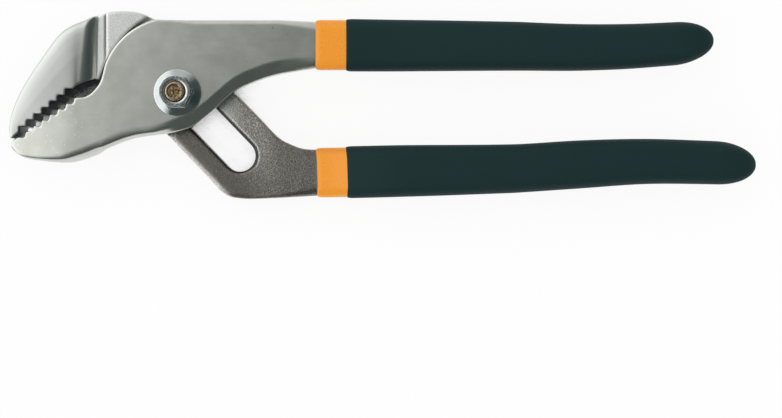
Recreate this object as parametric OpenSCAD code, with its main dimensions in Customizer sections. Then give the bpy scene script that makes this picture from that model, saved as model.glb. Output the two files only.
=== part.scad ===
// Water pump pliers with a slotted, tongue-and-groove adjustment and double-dipped handles.
// The pivot axis is the Z axis. The jaws point to -X, the handles to +X, and the nut faces +Z.
// The flat crown of the bolt head, on which the tool lies, is at z = 0.

/* [Halves] */
// Thickness of each half where the two lap
plate_t = 6; // [4:0.5:8]
// Running gap between the lapped faces
lap_gap = 0.1; // [0.05:0.05:0.3]
// Radius of the front half's round shoulder
shoulder_r = 24.2; // [22:0.1:26]
// How far the pivot lies behind the middle of the round shoulder, towards the handles
pivot_behind = 1.55; // [0:0.05:2.5]
// How far the pivot lies below the middle of the round shoulder
pivot_below = 0.95; // [0:0.05:2]
// How far the upper jaw's front face stands above the front half
jaw_rise = 0.5; // [0:0.1:1.5]
// How far the ledge behind the upper jaw lies below the front half's face
ledge_drop = 2.5; // [1:0.5:4]
// Gap between the round shoulder and the recess that it turns in
recess_gap = 0.5; // [0.3:0.1:1]

/* [Jaws] */
// Distance from the pivot to the jaw tips, along the tool
jaw_reach = 55.2; // [48:0.2:62]
// Distance of the jaw tips below the pivot
nose_drop = 15.5; // [12:0.5:20]
// Distance from the pivot to the throat end of the teeth
throat_reach = 34.3; // [33:0.1:37]
// Distance of the throat end of the teeth below the pivot
throat_drop = 0; // [0:0.2:2]
// Gap between the jaw tips at rest
nose_gap = 0.7; // [0.5:0.1:2]
// Gap between the rows of teeth at the throat
throat_gap = 3.1; // [2:0.1:5]
// Distance from tooth to tooth
tooth_pitch = 3.3; // [2:0.1:5]
// Depth of the teeth
tooth_depth = 1.35; // [0.6:0.05:2]

/* [Slot] */
// Width of the slot, between its flats
slot_w = 10.6; // [10:0.2:12]
// Distance that the bolt travels along the slot
slot_travel = 23.8; // [18:0.2:26]
// Number of settings along the slot
slot_settings = 7; // [4:1:8]
// Metal on the upper side of the slot
upper_strap = 8.4; // [6:0.1:9]
// Metal on the lower side of the slot
lower_strap = 7.4; // [6:0.1:8]
// Spare length at each end of the slot
slot_spare = 0.3; // [0.1:0.1:1]

/* [Tongue and grooves] */
// Radius of the tongue about the pivot
tongue_r = 20; // [18:0.2:21]
// Width of the tongue
tongue_w = 1.6; // [1:0.1:2]
// Height of the tongue
tongue_h = 1.2; // [0.6:0.1:2]
// Clearance of the tongue in a groove, at its sides and below it
groove_fit = 0.3; // [0.2:0.05:0.5]

/* [Bolt] */
// Diameter of the mushroom head
head_d = 16.5; // [15:0.5:20]
// Height of the mushroom head
head_h = 4.5; // [3:0.25:6]
// Diameter of the flat crown of the head
crown_d = 8; // [5:0.5:12]
// Length of the flat-sided neck along the slot
neck_l = 14; // [13:0.2:15]
// Clearance of the neck in the slot, each side
neck_fit = 0.08; // [0.04:0.01:0.2]
// Diameter of the round shank that the front half turns on
shank_d = 8; // [7:0.25:9]
// Radial clearance of the shank in the front half
shank_fit = 0.05; // [0.02:0.01:0.1]
// Diameter of the threaded end
thread_d = 6.35; // [5:0.05:6.5]
// Gap under the head and under the nut
seat_gap = 0.05; // [0.02:0.01:0.2]

/* [Nut] */
// Width of the nut across its flats
nut_af = 10; // [9:0.25:12]
// Height of the nut
nut_h = 6; // [5:0.25:8]
// Diameter of the nut's flange
flange_d = 15.5; // [14:0.25:18]
// Thickness of the flange at its rim
flange_rim = 0.9; // [0.5:0.1:1.5]
// Radial clearance between the thread and the nut
thread_fit = 0.02; // [0.01:0.01:0.05]
// How far the bolt's end stands out of the nut
bolt_proud = 0.7; // [0.2:0.1:2]

/* [Handles] */
// Distance from the pivot to the mouth of the coatings
collar_x = 45.8; // [44:0.2:52]
// Height of the upper handle's middle above the pivot, at the mouth
upper_y = 16.2; // [15:0.1:18]
// Depth of the lower handle's middle below the pivot, at the mouth
lower_y = 26.3; // [25:0.1:28]
// Width of the handles over both coats, at the mouth
grip_w = 17.5; // [16.5:0.1:18.5]
// Length of the upper coating, from its mouth to its tip
upper_l = 133.8; // [110:0.2:160]
// Length of the lower coating, from its mouth to its tip
lower_l = 148; // [120:0.2:175]
// Thickness of the tang inside the handles
tang_t = 9; // [7:0.25:11]
// Length over which the tang moves to the middle of the tool
tang_bend = 30; // [20:1:40]
// Length of solid coating past the end of the tang
tip_solid = 9; // [7:0.5:14]
// Length of the rounded tip of a handle
tip_round = 13; // [10:0.5:18]
// Length of undercoat that shows as a collar
collar_l = 10.2; // [6:0.2:16]
// Wall of the undercoat
undercoat = 0.6; // [0.4:0.05:1.2]
// Wall of the overcoat
overcoat = 0.4; // [0.3:0.05:1]
// Clearance between the layers of a handle
bond = 0.03; // [0.02:0.01:0.05]

/* [Hidden] */
$fn = 64;

// Levels, counted up from the crown of the bolt head
z_back = head_h + seat_gap;
z_lap = z_back + plate_t;
z_lap_front = z_lap + lap_gap;
z_front = z_lap_front + plate_t;
z_mid = (z_lap + z_lap_front) / 2;
z_jaw = z_front + jaw_rise;
z_ledge = z_front - ledge_drop;
// Extra length of a cutter past the face that it cuts
over = 1;

// The jaw half slides this way when the jaws are set wider
slide_angle = 134;
slide_dir = [cos(slide_angle), sin(slide_angle)];
across_dir = [cos(slide_angle - 90), sin(slide_angle - 90)];
neck_w = slot_w - 2 * neck_fit;
// Distance from the bolt's axis to the middle of the slot's round end
slot_lead = sqrt(neck_l * neck_l - neck_w * neck_w) / 2 + slot_spare;
setting_step = slot_travel / (slot_settings - 1);

// Ends of the two rows of teeth
upper_nose = [-jaw_reach, nose_gap / 2 - nose_drop];
lower_nose = [-jaw_reach, -nose_gap / 2 - nose_drop];
upper_throat = [-throat_reach, throat_gap / 2 - throat_drop];
lower_throat = [-throat_reach, -throat_gap / 2 - throat_drop];

// Edge shapes: how far the rounding reaches in across the face, and how deep it goes
keen = [0.3, 0.3];
eased = [0.9, 0.7];
soft = [1.6, 1.4];
bevel = [4.2, 2.6];
under = [1.5, 2.8];
crowned = [9, 3.6];
nose_crown = [4, 3];
crown_end = [6, 3.2];
tang_edge = [3.6, 2.4];
tang_round = [2.9, 3.8];
// Largest share of a face or a wall that its rounding may take
edge_share = 0.45;
// Flats that make up the rounding of an edge
edge_flats = 3;
// Rings from one drawn station to the next
rings_between = 2;

function mix(a, b, t) = a + (b - a) * t;
function polar(r, a) = [r * cos(a), r * sin(a)];
// The middle of the round shoulder, and a point about it by its shares of the shoulder's radius
shoulder_at = [-pivot_behind, pivot_below];
function near_shoulder(x, y) = shoulder_at + [x, y] * shoulder_r;

// A smooth curve from b to c, with a and d as its neighbours
function curve(a, b, c, d, t) =
    (2 * b + (c - a) * t + (2 * a - 5 * b + 4 * c - d) * t * t
        + (3 * b - a - 3 * c + d) * t * t * t) / 2;

// A station is a cross-section: one edge point, the other edge point, the lowest and highest level,
// and the shapes of its edges in the order first top, second top, second bottom, first bottom.
function station(first, second, levels, edges) = [first, second, levels, edges];

// Smooth edges and straight changes of level between the drawn stations
function smooth(list) = concat(
    [for (i = [0 : len(list) - 2]) for (k = [0 : rings_between - 1])
        let (
            t = k / rings_between,
            a = list[max(i - 1, 0)],
            b = list[i],
            c = list[i + 1],
            d = list[min(i + 2, len(list) - 1)]
        )
        station(curve(a[0], b[0], c[0], d[0], t), curve(a[1], b[1], c[1], d[1], t),
            mix(b[2], c[2], t), mix(b[3], c[3], t))],
    [list[len(list) - 1]]);

// One rounded corner of a cross-section
function corner(s, z, edge, from) =
    [for (i = [0 : edge_flats])
        [s + edge[0] * cos(from + 90 * i / edge_flats), z + edge[1] * sin(from + 90 * i / edge_flats)]];

// The points of a station's cross-section, in order round it
function ring(st) =
    let (
        span = norm(st[1] - st[0]),
        dir = (st[1] - st[0]) / span,
        low = st[2][0],
        high = st[2][1],
        cap = [span * edge_share, (high - low) * edge_share],
        e = [for (edge = st[3]) [min(edge[0], cap[0]), min(edge[1], cap[1])]],
        flat = concat(
            corner(span - e[2][0], low + e[2][1], e[2], -90),
            corner(span - e[1][0], high - e[1][1], e[1], 0),
            corner(e[0][0], high - e[0][1], e[0], 90),
            corner(e[3][0], low + e[3][1], e[3], 180))
    )
    [for (p = flat) [st[0][0] + dir[0] * p[0], st[0][1] + dir[1] * p[0], p[1]]];

// A closed solid through a row of stations
module loft(list) {
    rings = [for (st = list) ring(st)];
    n = len(rings[0]);
    last = len(rings) - 1;
    points = [for (r = rings) for (p = r) p];
    // Each four-sided patch is split along the same diagonal whichever way the row runs,
    // so that a skin drawn backwards over another one keeps its distance from it
    sides = [for (i = [0 : last - 1]) for (j = [0 : n - 1])
        let (
            a = i * n + j,
            b = i * n + (j + 1) % n,
            onward = rings[i + 1][0][0] > rings[i][0][0]
        )
        each onward ? [[a, b, a + n], [b, b + n, a + n]] : [[a, b, b + n], [a, b + n, a + n]]];
    start = [for (j = [n - 1 : -1 : 0]) j];
    end = [for (j = [0 : n - 1]) last * n + j];
    polyhedron(points, concat(sides, [start, end]));
}

// A point beside a row of teeth: its place from throat to nose and its height, as shares of the row
function jaw_point(throat, nose, share, height) =
    let (row = nose - throat)
    mix(throat, nose, share) + height * [-row[1], row[0]];

// The handle: share of its length, then the sideways shift of its middle and its width, as shares of
// the width at the mouth
upper_shape = [[0, 0, 1], [0.2, 0.011, 0.983], [0.5, 0, 0.931], [0.65, -0.023, 0.891], [0.78, -0.006, 0.857],
    [0.9, 0.046, 0.823], [1, 0.103, 0.8]];
lower_shape = [[0, 0, 1.006], [0.2, 0.029, 0.994], [0.45, 0.074, 0.937], [0.6, 0.154, 0.926],
    [0.75, 0.211, 0.869], [0.9, 0.189, 0.834], [1, 0.149, 0.811]];
// Shares of the length at which the handles have a ring
handle_shares = [0.14, 0.22, 0.34, 0.46, 0.57, 0.67, 0.76, 0.84];
// Angles of the rings round a handle's tip
tip_angles = [0, 25, 45, 62, 75, 85];

// The shift and width at a share of the handle's length
function handle_at(shape, share) =
    let (
        i = max([for (k = [0 : len(shape) - 2]) if (shape[k][0] <= share) k]),
        t = (share - shape[i][0]) / (shape[i + 1][0] - shape[i][0])
    )
    curve(shape[max(i - 1, 0)], shape[i], shape[i + 1], shape[min(i + 2, len(shape) - 1)], t);

// One ring of a handle at a distance from its mouth, grown by so much from the tang's surface
function handle_station(upper, x, grow, taper = 1) =
    let (
        length = upper ? upper_l : lower_l,
        at = handle_at(upper ? upper_shape : lower_shape, min(x / length, 1)),
        bend = min(x / tang_bend, 1),
        eased_bend = bend * bend * (3 - 2 * bend),
        plate_mid = upper ? (z_lap_front + z_front) / 2 : (z_back + z_lap) / 2,
        z = mix(plate_mid, z_mid, eased_bend),
        y = (upper ? upper_y : -lower_y) + at[1] * grip_w,
        half_w = (at[2] * grip_w / 2 - undercoat - overcoat + grow) * taper,
        half_t = (mix(plate_t, tang_t, eased_bend) / 2 + grow) * taper,
        edge = (mix(tang_edge, tang_round, eased_bend) + [grow, grow]) * taper
    )
    station([collar_x + x, y + half_w], [collar_x + x, y - half_w], [z - half_t, z + half_t],
        [edge, edge, edge, edge]);

// Places of the rings along a handle, between two limits
function handle_places(upper, from, to) =
    let (length = upper ? upper_l : lower_l)
    [for (share = handle_shares) if (share * length > from && share * length < to) share * length];

// The rings of a closed, rounded end of a handle
function tip_rings(upper, length, grow) =
    [for (a = tip_angles)
        handle_station(upper, length - tip_round + tip_round * sin(a), grow, cos(a))];

// The tang inside a handle, from its mouth to its blunt end
function tang_rings(upper, grow) =
    let (
        length = (upper ? upper_l : lower_l) - tip_solid,
        blunt = 0.75
    )
    concat(
        [for (x = concat([0, collar_l / 2, collar_l], handle_places(upper, collar_l, length - tip_solid)))
            handle_station(upper, x, grow)],
        [handle_station(upper, length - tip_solid / 2, grow), handle_station(upper, length + grow, grow, blunt)]);

// The outside of one coat, from a place along the handle to its tip
function coat_rings(upper, from, grow, end) =
    let (length = (upper ? upper_l : lower_l) - end)
    concat(
        [for (x = concat([from], from < collar_l ? [collar_l / 2, collar_l] : [],
            handle_places(upper, collar_l, length - tip_round - over))) handle_station(upper, x, grow)],
        tip_rings(upper, length, grow));

function reversed(list) = [for (i = [len(list) - 1 : -1 : 0]) list[i]];

// The front half, from the tip of the lower jaw to the upper tang
front_plate = [z_lap_front, z_front];
front_block = [z_back, z_front];
// The tang's top edge lies a little below the top of the round shoulder
tang_step = 0.8;
top_y = shoulder_at[1] + shoulder_r - tang_step;
function lower_jaw(inner, outer, height, face, foot) = station(
    jaw_point(lower_throat, lower_nose, inner, 0), jaw_point(lower_throat, lower_nose, outer, height),
    front_block, [keen, face, foot, keen]);
function shoulder(angle, below) = station(shoulder_at + polar(shoulder_r, angle), below, front_plate,
    [eased, under, eased, eased]);
function upper_tang(x, below) = station([shoulder_at[0] + x * shoulder_r, top_y], below, front_plate,
    [soft, bevel, eased, eased]);
front_stations = concat(smooth([
    lower_jaw(1, 1.03, 0.02, keen, keen),
    lower_jaw(0.96, 1.065, 0.083, soft, soft),
    lower_jaw(0.87, 1.034, 0.213, under, soft),
    lower_jaw(0.75, 0.937, 0.336, under, soft),
    lower_jaw(0.53, 0.766, 0.486, under, soft),
    lower_jaw(0.25, 0.592, 0.612, under, soft),
    lower_jaw(0.02, 0.415, 0.683, under, soft),
    station(near_shoulder(-1.202, -0.087), near_shoulder(-1.136, -0.876), front_block, [keen, under, soft, keen]),
    station(near_shoulder(-1.083, 0), near_shoulder(-0.967, -0.806), front_plate, [keen, under, eased, eased]),
    shoulder(172, near_shoulder(-0.798, -0.736)),
    shoulder(158, near_shoulder(-0.64, -0.678)),
    shoulder(144, near_shoulder(-0.475, -0.636)),
    shoulder(130, near_shoulder(-0.289, -0.612)),
    shoulder(117, near_shoulder(-0.12, -0.591)),
    shoulder(105, near_shoulder(0.074, -0.558)),
    shoulder(95, near_shoulder(0.256, -0.496)),
    upper_tang(0.248, near_shoulder(0.421, -0.376)),
    upper_tang(0.496, near_shoulder(0.583, -0.24)),
    upper_tang(0.702, near_shoulder(0.719, -0.112)),
    upper_tang(0.888, near_shoulder(0.864, 0.004)),
    upper_tang(1.095, near_shoulder(1.05, 0.099)),
    upper_tang(1.446, near_shoulder(1.421, 0.223)),
    handle_station(true, 0, 0)
]), [for (i = [1 : len(tang_rings(true, 0)) - 1]) tang_rings(true, 0)[i]]);

// The slotted half, from the tip of the upper jaw to the lower tang
// The bar's lapped face lies a hair below the floor of the recess
floor_step = 0.02;
back_plate = [z_back, z_lap - floor_step];
back_block = [z_back, z_jaw];
back_ledge = [z_back, z_ledge];
function upper_jaw(outer, height, inner, face, foot) = station(
    jaw_point(upper_throat, upper_nose, outer, -height), jaw_point(upper_throat, upper_nose, inner, 0),
    back_block, [face, keen, keen, foot]);
// A section of the bar, at its two places along the slot's travel
function bar(upper_place, lower_place) = station(
    across_dir * (slot_w / 2 + upper_strap) - slide_dir * slot_travel * upper_place,
    -across_dir * (slot_w / 2 + lower_strap) - slide_dir * slot_travel * lower_place,
    back_plate, [eased, eased, eased, eased]);
// Where the bar stops running along the slot and bends into the tang
bar_end = 1 + (slot_lead + slot_w / 2) / slot_travel;
// A point of the lower tang, by its shares of the way to the mouth of the coatings
function near_mouth(x, y) = [x * collar_x, -y * lower_y];
slotted_stations = concat(smooth([
    upper_jaw(1.012, 0.022, 1, keen, keen),
    upper_jaw(0.94, 0.131, 0.92, soft, soft),
    upper_jaw(0.82, 0.243, 0.8, nose_crown, bevel),
    upper_jaw(0.65, 0.351, 0.68, crowned, bevel),
    upper_jaw(0.415, 0.452, 0.48, crowned, bevel),
    upper_jaw(0.1, 0.553, 0.27, crowned, bevel),
    upper_jaw(-0.254, 0.647, 0.1, crowned, bevel),
    station(near_shoulder(-1.401, 0.892), upper_throat, back_block, [crown_end, keen, keen, bevel]),
    station(near_shoulder(-1.207, 0.975), near_shoulder(-1.289, 0.07), back_block, [soft, eased, eased, soft]),
    station(near_shoulder(-1.054, 1.045), near_shoulder(-1.074, 0.149), back_ledge, [eased, eased, eased, soft]),
    station(near_shoulder(-0.855, 1.095), near_shoulder(-0.992, 0.132), back_ledge, [eased, eased, eased, soft]),
    station(near_shoulder(-0.661, 1.103), near_shoulder(-0.909, 0.079), back_ledge, [eased, eased, eased, soft]),
    station(near_shoulder(-0.479, 1.079), near_shoulder(-0.826, 0.008), back_ledge, [eased, eased, eased, eased]),
    station(near_shoulder(-0.331, 1.025), near_shoulder(-0.744, -0.066), back_ledge, [eased, eased, eased, eased]),
    station(near_shoulder(-0.19, 0.95), near_shoulder(-0.661, -0.14), back_plate, [eased, eased, eased, eased]),
    bar(-0.44, -0.12),
    bar(0.09, 0.29),
    bar(0.57, 0.7),
    bar(1, 1.07),
    bar(bar_end - 0.04, bar_end),
    station(near_mouth(0.823, 0.647), near_mouth(0.437, 1.33), back_plate, [eased, eased, eased, eased]),
    station(near_mouth(0.911, 0.696), near_mouth(0.631, 1.33), back_plate, [soft, soft, soft, soft]),
    handle_station(false, 0, 0)
]), [for (i = [1 : len(tang_rings(false, 0)) - 1]) tang_rings(false, 0)[i]]);

// Each row of teeth: its start from the throat, and the share of the pitch where a cut is deepest
lower_teeth = [0, 0.48];
upper_teeth = [0.4, 0.61];

// A row of teeth, cut into the edge from throat to nose
module teeth(throat, nose, side, layout) {
    phase = layout[0];
    lean = layout[1];
    row = norm(nose - throat) - phase;
    count = floor(row / tooth_pitch);
    outline = concat(
        [[phase, -over]],
        [for (i = [0 : count - 1]) each [[phase + i * tooth_pitch, 0],
            [phase + (i + lean) * tooth_pitch, tooth_depth]]],
        [[phase + count * tooth_pitch, 0], [phase + count * tooth_pitch, -over]]);
    translate([throat[0], throat[1], z_back - over])
        rotate(atan2(nose[1] - throat[1], nose[0] - throat[0]))
            linear_extrude(z_jaw - z_back + 2 * over)
                polygon([for (p = outline) [p[0], side * p[1]]]);
}

// Part of a ring about the pivot
module arc_band(r, w, h, from, to) {
    rotate_extrude(angle = to - from, start = from)
        translate([r - w / 2, 0])
            square([w, h]);
}

// Where the tongue starts and ends round the pivot, clear of the slot and short of the bar's edge
tongue_inset = 0.65;
tongue_from = slide_angle + asin((slot_w / 2 + tongue_inset) / tongue_r);
tongue_to = slide_angle + asin((slot_w / 2 + lower_strap - tongue_inset) / tongue_r);
// Depth that the tongue's root goes into the plate
tongue_root = 0.5;
// Angles by which a groove runs on past the tongue, towards the slot and out over the bar's edge
groove_run = [2, 20];

module front_half() {
    color([0.62, 0.64, 0.62])
        difference() {
            union() {
                loft(front_stations);
                translate([0, 0, z_lap_front - tongue_h])
                    arc_band(tongue_r, tongue_w, tongue_h + tongue_root, tongue_from, tongue_to);
            }
            translate([0, 0, z_lap - over])
                cylinder(d = shank_d + 2 * shank_fit, h = plate_t + 2 * over);
            teeth(lower_throat, lower_nose, 1, lower_teeth);
        }
}

// The recess that the front half's shoulder turns in, struck from a middle of its own
recess_r = 35;
recess_turn = -32.5;
recess_at = shoulder_at + polar(recess_r - shoulder_r - recess_gap, recess_turn);

// Angle that each flat of a round slot end covers
slot_facet = 9;

module slot_cut() {
    near = [slot_lead, 0];
    far = [-slot_travel - slot_lead, 0];
    outline = concat(
        [for (a = [-90 : slot_facet : 90]) near + polar(slot_w / 2, a)],
        [for (a = [90 : slot_facet : 270]) far + polar(slot_w / 2, a)]);
    translate([0, 0, z_back - over])
        rotate(slide_angle)
            linear_extrude(z_jaw - z_back + 2 * over)
                polygon(outline);
}

module slotted_half() {
    groove_h = tongue_h + groove_fit;
    color([0.5, 0.5, 0.48])
        difference() {
            loft(slotted_stations);
            translate([recess_at[0], recess_at[1], z_lap])
                cylinder(r = recess_r, h = z_jaw - z_lap + over);
            slot_cut();
            for (k = [0 : slot_settings - 1])
                translate([0, 0, z_lap - groove_h] - [slide_dir[0], slide_dir[1], 0] * setting_step * k)
                    arc_band(tongue_r, tongue_w + 2 * groove_fit, groove_h + over,
                        tongue_from - groove_run[0], tongue_to + groove_run[1]);
            teeth(upper_throat, upper_nose, -1, upper_teeth);
        }
}

module pivot_bolt() {
    rim_share = 0.3;
    rim = head_h * rim_share;
    dome = [for (a = [0 : 15 : 90])
        [crown_d / 2 + (head_d - crown_d) / 2 * sin(a), (head_h - rim) * (1 - cos(a))]];
    neck_top = z_lap;
    shank_top = z_front - seat_gap;
    end = z_front + seat_gap + nut_h + bolt_proud;
    chamfer = 0.6;
    color([0.6, 0.52, 0.4]) {
        rotate_extrude()
            polygon(concat([[0, 0]], dome, [[head_d / 2, head_h], [0, head_h]]));
        intersection() {
            translate([0, 0, head_h - seat_gap])
                cylinder(d = neck_l, h = neck_top - head_h + seat_gap);
            translate([0, 0, neck_top / 2])
                rotate(slide_angle)
                    cube([2 * neck_l, neck_w, 2 * neck_top], center = true);
        }
        rotate_extrude()
            polygon([[0, head_h], [shank_d / 2, head_h], [shank_d / 2, shank_top], [thread_d / 2, shank_top],
                [thread_d / 2, end - chamfer], [thread_d / 2 - chamfer, end], [0, end]]);
    }
}

module pivot_nut() {
    corner_r = nut_af / 2 / cos(30);
    // The turned top leaves the flats whole and takes most of the corners off
    corner_share = 0.2;
    top_r = nut_af / 2 + (corner_r - nut_af / 2) * corner_share;
    top_slope = 0.6;
    top_cut = (corner_r - top_r) * top_slope;
    cone_slope = 0.5;
    cone_h = (flange_d / 2 - corner_r) * cone_slope;
    color([0.75, 0.76, 0.75])
        translate([0, 0, z_front + seat_gap])
            difference() {
                union() {
                    cylinder(d = flange_d, h = flange_rim);
                    translate([0, 0, flange_rim])
                        cylinder(d1 = flange_d, d2 = 2 * corner_r, h = cone_h);
                    intersection() {
                        cylinder(r = corner_r, h = nut_h, $fn = 6);
                        union() {
                            cylinder(r = corner_r + over, h = nut_h - top_cut);
                            translate([0, 0, nut_h - top_cut])
                                cylinder(r1 = corner_r, r2 = top_r, h = top_cut);
                        }
                    }
                }
                translate([0, 0, -over])
                    cylinder(d = thread_d + 2 * thread_fit, h = nut_h + 2 * over);
            }
}

// The inner coat, a closed skin over the tang
module undercoat_sleeve(upper) {
    loft(concat(
        reversed(tang_rings(upper, bond)),
        coat_rings(upper, 0, undercoat, overcoat + bond)));
}

// The outer coat, a closed skin over the inner one
module overcoat_sleeve(upper) {
    loft(concat(
        reversed(coat_rings(upper, collar_l, undercoat + bond, overcoat)),
        coat_rings(upper, collar_l, undercoat + overcoat, 0)));
}

module upper_handle_undercoat() {
    color([0.92, 0.58, 0.16])
        undercoat_sleeve(true);
}

module upper_handle_grip() {
    color([0.12, 0.2, 0.22])
        overcoat_sleeve(true);
}

module lower_handle_undercoat() {
    color([0.92, 0.58, 0.16])
        undercoat_sleeve(false);
}

module lower_handle_grip() {
    color([0.12, 0.2, 0.22])
        overcoat_sleeve(false);
}

front_half();
slotted_half();
pivot_bolt();
pivot_nut();
upper_handle_undercoat();
upper_handle_grip();
lower_handle_undercoat();
lower_handle_grip();
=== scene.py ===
# %% [markdown]
# # Water pump pliers
# The tool is two forged halves on one bolt, with handles that were dipped twice in soft vinyl. The CAD
# frame already has the right sizes and the joints. In this lesson Blender adds what a solid cannot
# say: smooth forged skins, rubbed edges, plating, blasted grain and the skin of the dipped coats.

import math

import bpy
import numpy as np
from mathutils import Matrix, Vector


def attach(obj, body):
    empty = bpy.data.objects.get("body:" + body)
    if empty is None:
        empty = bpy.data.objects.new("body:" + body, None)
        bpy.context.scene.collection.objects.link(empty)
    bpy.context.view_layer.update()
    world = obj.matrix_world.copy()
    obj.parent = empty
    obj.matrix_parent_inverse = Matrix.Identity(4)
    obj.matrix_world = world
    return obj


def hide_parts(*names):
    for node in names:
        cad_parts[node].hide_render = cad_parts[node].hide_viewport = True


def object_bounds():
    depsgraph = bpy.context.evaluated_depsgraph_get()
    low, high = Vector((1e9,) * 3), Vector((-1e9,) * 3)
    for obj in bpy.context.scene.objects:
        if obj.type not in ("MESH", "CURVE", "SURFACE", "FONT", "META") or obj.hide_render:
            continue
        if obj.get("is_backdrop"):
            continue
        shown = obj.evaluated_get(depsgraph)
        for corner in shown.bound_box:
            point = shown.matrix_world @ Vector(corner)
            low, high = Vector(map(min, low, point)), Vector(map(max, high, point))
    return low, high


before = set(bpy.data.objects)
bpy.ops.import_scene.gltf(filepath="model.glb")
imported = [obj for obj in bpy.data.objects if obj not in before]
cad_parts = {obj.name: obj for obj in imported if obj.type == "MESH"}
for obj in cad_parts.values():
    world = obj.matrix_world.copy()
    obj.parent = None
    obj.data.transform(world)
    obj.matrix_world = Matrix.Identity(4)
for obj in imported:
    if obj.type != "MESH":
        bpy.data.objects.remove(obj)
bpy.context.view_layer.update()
print("Nodes in the frame:", len(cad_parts))

# %% [markdown]
# ## Camera
# The photograph looks straight down at the tool. A plain camera above the middle of the picture
# gives the same slight lean of the nut towards the jaws, so no shift or tilt is needed.

# %% A camera that looks straight down
MM = 0.001
LENS, SENSOR, CAMERA_AT = 63.6, 36, (71.0, -38.6, 475.9)
camera = bpy.data.objects.new("camera", bpy.data.cameras.new("camera"))
camera.data.lens = LENS
camera.data.sensor_width = SENSOR
camera.data.clip_start = 10 * MM
camera.location = [place * MM for place in CAMERA_AT]
bpy.context.scene.collection.objects.link(camera)
bpy.context.scene.camera = camera
bpy.context.scene.view_settings.view_transform = "Standard"
print("Camera height in mm:", round(camera.location.z / MM, 1))

# %% [markdown]
# ## Nodes by hand
# Every finish below is a small tree of nodes. One helper adds a node, sets it up and plugs in its
# inputs. Short ones on top of it do sums, fade between two limits and mix two colours. The last two
# start a node group and place it, which is how one effect is shared by several finishes.

# %% Helpers for node trees
def add(tree, kind, inputs=None, **settings):
    made = tree.nodes.new(kind)
    for key, value in settings.items():
        setattr(made, key, value)
    for key, value in (inputs or {}).items():
        if isinstance(value, bpy.types.NodeSocket):
            tree.links.new(value, made.inputs[key])
        else:
            made.inputs[key].default_value = value
    return made


def sums(tree, operation, a, b):
    return add(tree, "ShaderNodeMath", {0: a, 1: b}, operation=operation).outputs[0]


def times(tree, a, b):
    return sums(tree, "MULTIPLY", a, b)


def dot(tree, a, b):
    return add(tree, "ShaderNodeVectorMath", {0: a, 1: b}, operation="DOT_PRODUCT").outputs["Value"]


def ramp(tree, value, low, high, to_low=0.0, to_high=1.0):
    fades = {"Value": value, "From Min": low, "From Max": high, "To Min": to_low, "To Max": to_high}
    return add(tree, "ShaderNodeMapRange", fades, interpolation_type="SMOOTHSTEP").outputs["Result"]


def fade_mm(tree, place, limits, to_low=0.0, to_high=1.0):
    return ramp(tree, place, limits[0] * MM, limits[1] * MM, to_low, to_high)


def tint(tree, factor, a, b):
    made = add(tree, "ShaderNodeMix", {"Factor": factor}, data_type="RGBA")
    for socket, value in ((made.inputs[6], a), (made.inputs[7], b)):
        if isinstance(value, bpy.types.NodeSocket):
            tree.links.new(value, socket)
        else:
            socket.default_value = (*value, 1)
    return made.outputs[2]


def new_effect(name, ins, outs):
    tree = bpy.data.node_groups.new(name, "ShaderNodeTree")
    for label, value in ins.items():
        socket = tree.interface.new_socket(label, in_out="INPUT", socket_type="NodeSocketFloat")
        socket.default_value = value
    for label in outs:
        tree.interface.new_socket(label, in_out="OUTPUT", socket_type="NodeSocketFloat")
    enter = tree.nodes.new("NodeGroupInput").outputs
    leave = tree.nodes.new("NodeGroupOutput").inputs
    return tree, enter, leave


def place_effect(tree, effect, values):
    return add(tree, "ShaderNodeGroup", values, node_tree=effect).outputs


print("Node helpers ready")

# %% [markdown]
# ## Light
# Plated steel shows the room more than it shows itself. In the photograph the left flank of the nut
# is white and its right flank is nearly black, so the room has one wide soft window on the left, a
# grey far wall, a dim ceiling and a dark right wall. Lamps could do this, but a world that changes
# with direction needs none. Dull surfaces see one even level, so that a colour renders as written.

# %% One wide window on the left
world = bpy.data.worlds.new("studio")
bpy.context.scene.world = world
world.use_nodes = True
sky = world.node_tree
sky.nodes.clear()
ROOM_TONE = (0.096, 0.114, 0.109)
# Each patch has the direction of its middle, the two limits of its soft edge, and its tone.
PATCHES = {
    "far wall": ((-0.22, 0.87, 0.44), (0.6, 0.96), (0.8, 0.8, 0.8)),
    "right wall": ((0.7, -0.15, 0.7), (0.9, 0.98), (0.045, 0.066, 0.066)),
    "window": ((-0.9, 0.13, 0.42), (0.53, 0.77), (1.6, 1.6, 1.6)),
}
EVEN_LEVEL = 1.03
toward = add(sky, "ShaderNodeTexCoord").outputs["Generated"]
room = ROOM_TONE
for middle, edge, tone in PATCHES.values():
    room = tint(sky, ramp(sky, dot(sky, toward, middle), *edge), room, tone)
path = add(sky, "ShaderNodeLightPath").outputs
room = tint(sky, path["Is Diffuse Ray"], room, [EVEN_LEVEL] * 3)
light = add(sky, "ShaderNodeBackground", {"Color": tint(sky, path["Is Camera Ray"], room, (1, 1, 1))})
add(sky, "ShaderNodeOutputWorld", {"Surface": light.outputs[0]})
print("Parts of the room:", list(PATCHES))

# %% [markdown]
# ## Floor
# The tool lies on the crown of its bolt head, on a white sheet. The sheet is part paint and part
# glow. The glow keeps it white to the camera and in the metal. Where the tool closes off the sheet,
# as between the teeth, the glow fades and the paint darkens, so that a soft shadow is left there.

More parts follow.
